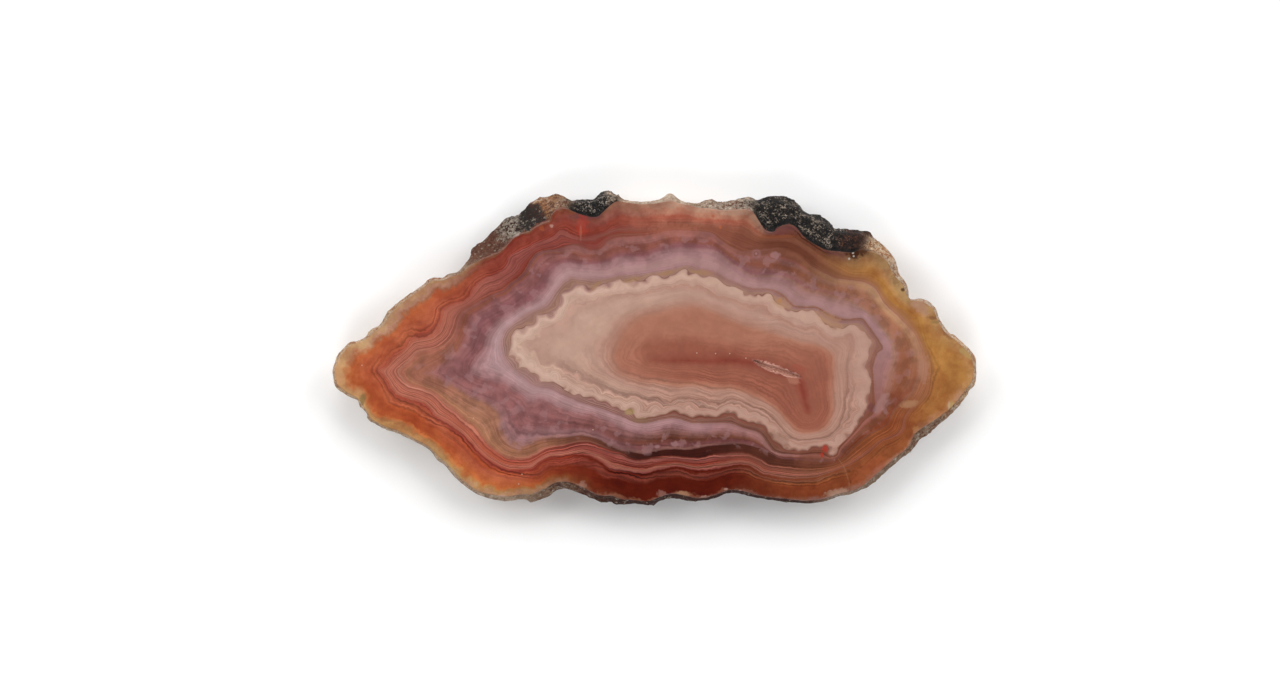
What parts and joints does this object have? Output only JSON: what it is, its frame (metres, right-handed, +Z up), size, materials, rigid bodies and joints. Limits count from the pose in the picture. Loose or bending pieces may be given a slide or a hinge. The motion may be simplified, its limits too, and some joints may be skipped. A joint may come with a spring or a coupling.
{
  "type": "agate slice",
  "caption": "Thin polished slab sawn across a banded agate nodule, with its natural rough rind and dark host rock left on the rim; lies flat.",
  "frame": {"origin": "under the middle of the slice's box, on the surface that its sawn back rests on", "axes": "+X along the slice's length, towards its amber tip; +Y towards the upper edge with the basalt knobs; +Z up, out of the polished face"},
  "size_m": [0.1, 0.0492, 0.007],
  "materials": {
    "agate": "banded chalcedony polished to a soft gloss on the face, fine sawn back, rough grey rind and dark basalt on the rim"
  },
  "bodies": {
    "root": {"agate_slice": "agate"}
  },
  "joints": []
}
